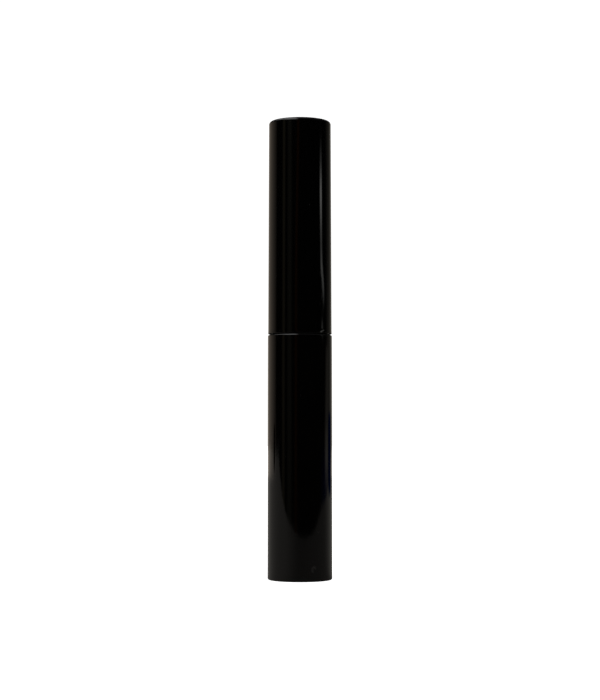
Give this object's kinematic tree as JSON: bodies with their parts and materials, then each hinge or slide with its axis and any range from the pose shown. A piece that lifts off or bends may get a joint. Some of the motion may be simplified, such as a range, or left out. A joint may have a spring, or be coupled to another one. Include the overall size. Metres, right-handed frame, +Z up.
{
  "type": "mascara tube",
  "caption": "Slim round gloss-black mascara tube: a threaded bottle with a wiper, closed by a screw cap that carries the stem and twisted-wire brush.",
  "frame": {"origin": "centre of the bottle's base, on the plane it stands on", "axes": "+Z up along the tube's axis, from the base to the cap's top; X and Y are free, as the outside is round"},
  "size_m": [0.0168, 0.0168, 0.119],
  "materials": {
    "bottle_black": "polished",
    "cap_black": "polished",
    "wiper_plastic": "satin",
    "formula_black": "wet",
    "label_paper": "matt",
    "liner_foam": "matt",
    "weight_steel": "turned",
    "inner_cap_plastic": "satin",
    "stem_black": "satin",
    "wire_steel": "drawn",
    "fibre_black": "satin"
  },
  "bodies": {
    "bottle": {"bottle": "bottle_black", "wiper": "wiper_plastic", "mascara_bulk": "formula_black", "base_label": "label_paper"},
    "liner": {"cap_liner": "liner_foam"},
    "weight": {"cap_weight": "weight_steel"},
    "wand": {"overcap": "cap_black", "inner_cap": "inner_cap_plastic", "stem": "stem_black", "brush_wire": "wire_steel", "bristles": "fibre_black"}
  },
  "joints": [
    {"name": "wand_pull", "type": "slide", "parent": "bottle", "child": "liner", "axis": [0, 0, 1], "range_m": [0, 0.072], "deforming": ["bristles"]},
    {"name": "thread_rise", "type": "slide", "parent": "liner", "child": "weight", "axis": [0, 0, 1], "range_m": [0, 0.0025]},
    {"name": "cap_unscrew", "type": "hinge", "parent": "weight", "child": "wand", "pos_m": [0, 0, 0.0632], "axis": [0, 0, 1], "range_deg": [0, 450]}
  ],
  "couplings": [
    {"joint": "thread_rise", "follows": "cap_unscrew", "m_per_rad": 0.00031831}
  ]
}
